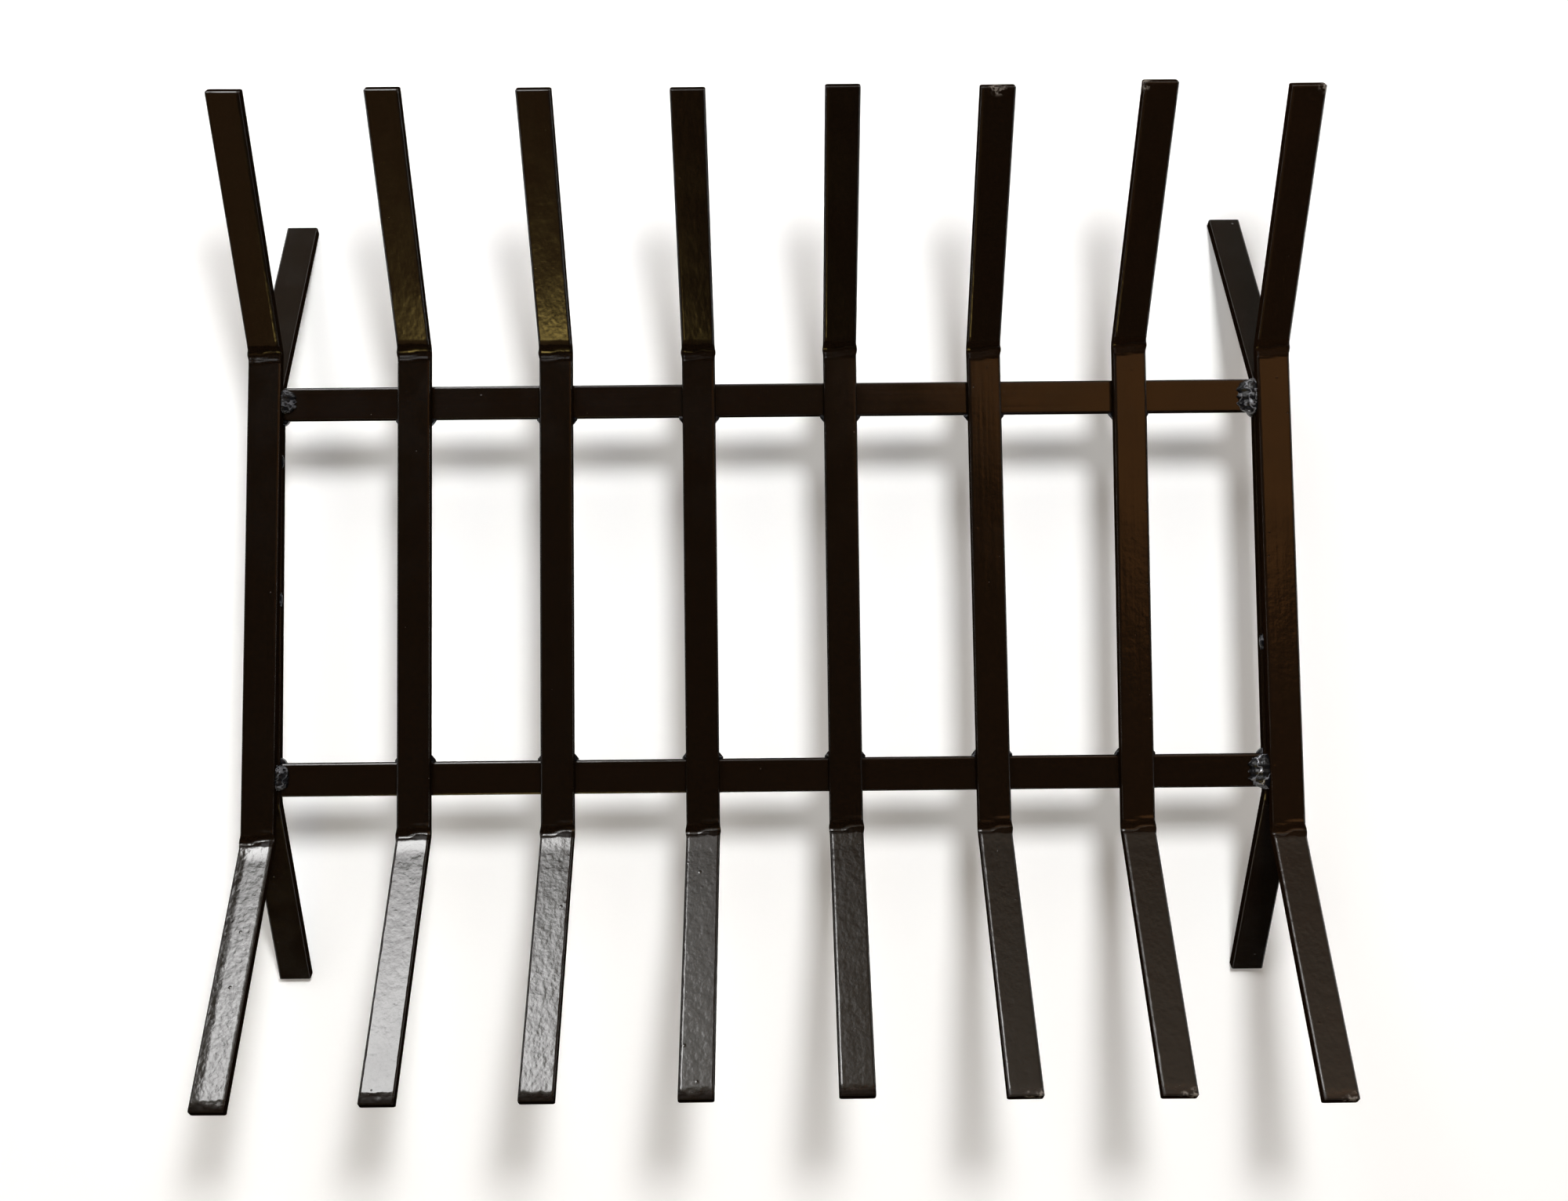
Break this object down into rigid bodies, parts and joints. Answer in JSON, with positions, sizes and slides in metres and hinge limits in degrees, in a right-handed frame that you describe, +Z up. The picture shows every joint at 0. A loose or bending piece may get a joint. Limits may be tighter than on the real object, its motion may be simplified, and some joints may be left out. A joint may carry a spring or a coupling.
{
  "type": "log grate",
  "caption": "Free-standing fire grate: flat bars with both ends bent up, welded across two rails between two bent leg frames with splayed feet.",
  "frame": {"origin": "on the floor under the middle of the outline", "axes": "+Z up, X along the rails with +X to the right, Y along the log bars with +Y to the back"},
  "size_m": [0.609, 0.5424, 0.1626],
  "materials": {
    "bar": "satin brown-black paint over mill scale, fine orange peel, pale scuffs at the tips",
    "rail": "satin brown-black paint over mill scale",
    "leg_frame": "satin brown-black paint over mill scale",
    "weld": "thin glossy black paint over bright lumpy weld metal"
  },
  "bodies": {
    "root": {"bar_1": "bar", "bar_2": "bar", "bar_3": "bar", "bar_4": "bar", "bar_5": "bar", "bar_6": "bar", "bar_7": "bar", "bar_8": "bar", "rail_back": "rail", "rail_front": "rail", "leg_frame_left": "leg_frame", "leg_frame_right": "leg_frame", "weld_bar_2_back": "weld", "weld_bar_2_front": "weld", "weld_bar_3_back": "weld", "weld_bar_3_front": "weld", "weld_bar_4_back": "weld", "weld_bar_4_front": "weld", "weld_bar_5_back": "weld", "weld_bar_5_front": "weld", "weld_bar_6_back": "weld", "weld_bar_6_front": "weld", "weld_bar_7_back": "weld", "weld_bar_7_front": "weld", "weld_corner_back_left": "weld", "weld_corner_back_right": "weld", "weld_corner_front_left": "weld", "weld_corner_front_right": "weld", "weld_inner_back_left": "weld", "weld_inner_back_right": "weld", "weld_inner_front_left": "weld", "weld_inner_front_right": "weld", "seam_tack_left_1": "weld", "seam_tack_left_2": "weld", "seam_tack_right_1": "weld"}
  },
  "joints": []
}
